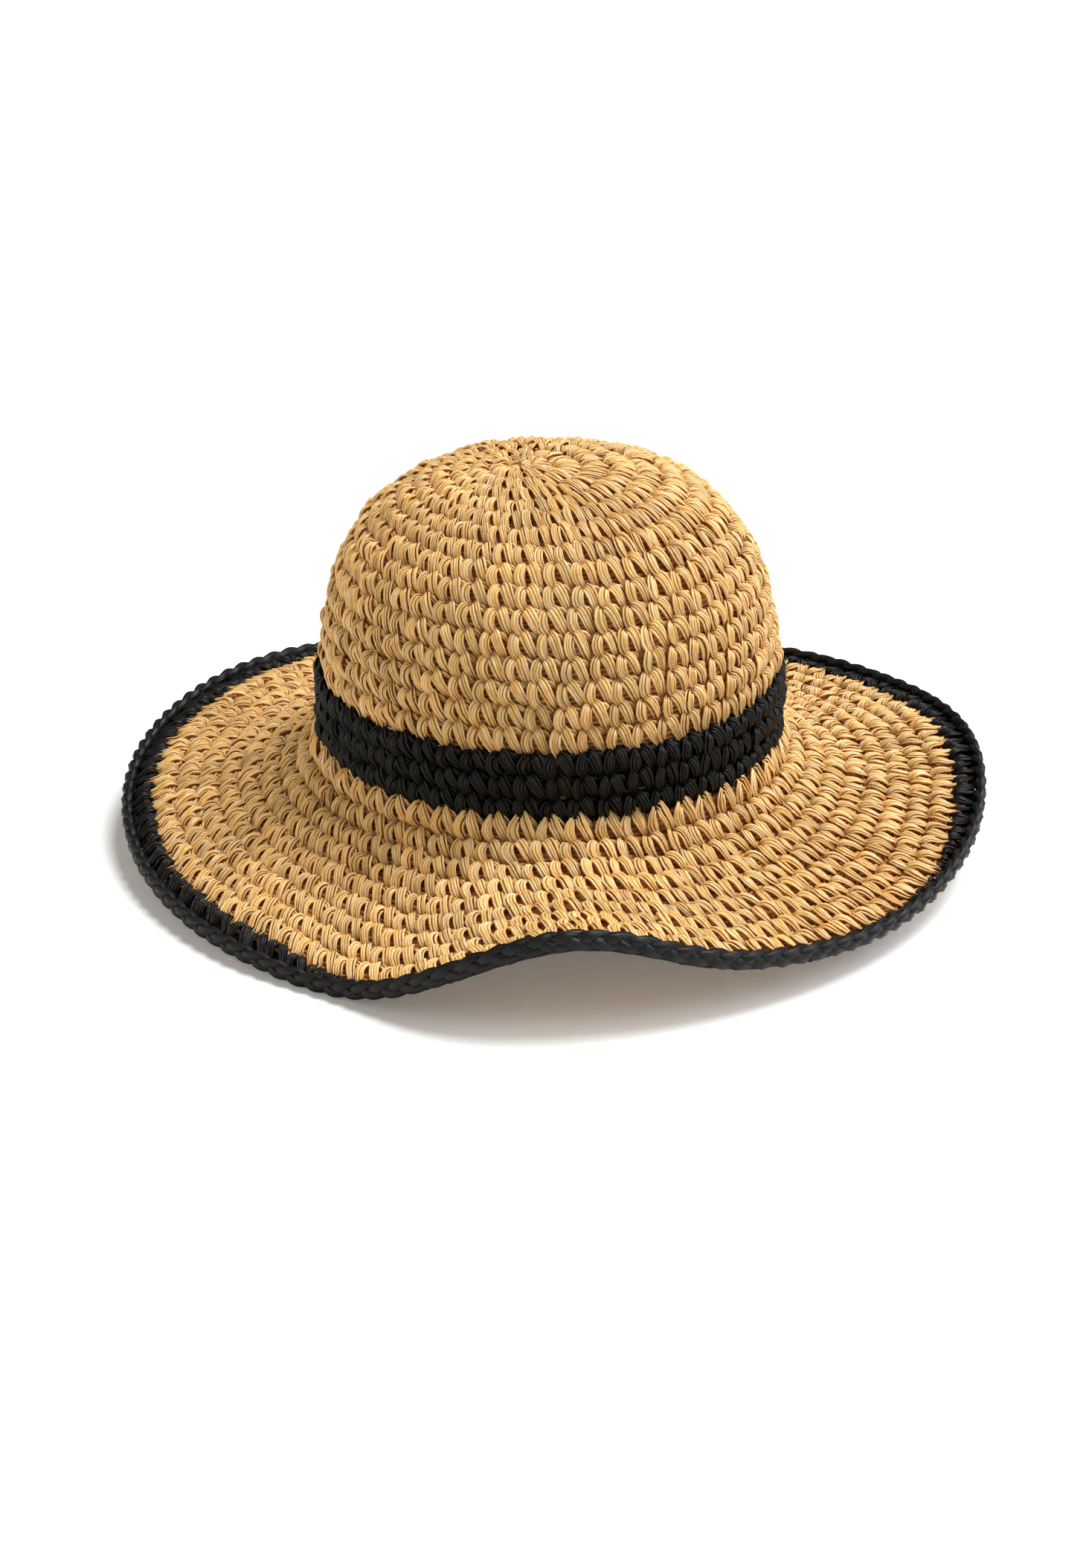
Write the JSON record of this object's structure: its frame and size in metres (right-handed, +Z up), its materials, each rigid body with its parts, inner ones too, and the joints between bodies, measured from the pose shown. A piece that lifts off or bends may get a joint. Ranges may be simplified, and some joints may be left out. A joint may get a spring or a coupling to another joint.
{
  "type": "straw sun hat",
  "caption": "Crocheted paper-straw sun hat with a round crown, a black band, a wide wavy brim with a black plaited edge, and a ribbon sweatband inside.",
  "frame": {"origin": "middle of the head opening, at the lower edge of the sweatband, level with the lower edge of the black band", "axes": "+Z up along the crown's axis; the front of the hat faces -Y, +X to the right as seen from the front"},
  "size_m": [0.3589, 0.3572, 0.1638],
  "materials": {
    "natural_straw": "matte twisted paper straw, crocheted",
    "black_straw": "semi-gloss twisted paper straw, crocheted",
    "sweatband_ribbon": "ribbed woven ribbon",
    "thread": "matte sewing thread",
    "wire": "drawn spring wire"
  },
  "bodies": {
    "root": {"crown_start": "natural_straw", "crown_round_01": "natural_straw", "crown_round_02": "natural_straw", "crown_round_03": "natural_straw", "crown_round_04": "natural_straw", "crown_round_05": "natural_straw", "crown_round_06": "natural_straw", "crown_round_07": "natural_straw", "crown_round_08": "natural_straw", "crown_round_09": "natural_straw", "crown_round_10": "natural_straw", "crown_round_11": "natural_straw", "crown_round_12": "natural_straw", "crown_round_13": "natural_straw", "crown_round_14": "natural_straw", "crown_round_15": "natural_straw", "band_round_1": "black_straw", "band_round_2": "black_straw", "band_round_3": "black_straw", "brim_round_1": "natural_straw", "brim_round_2": "natural_straw", "brim_round_3": "natural_straw", "brim_round_4": "natural_straw", "brim_round_5": "natural_straw", "brim_round_6": "natural_straw", "brim_round_7": "natural_straw", "brim_round_8": "natural_straw", "brim_round_9": "natural_straw", "edge_round": "black_straw", "edge_braid": "black_straw", "brim_wire": "wire", "sweatband": "sweatband_ribbon", "sweatband_stitches": "thread"}
  },
  "joints": []
}
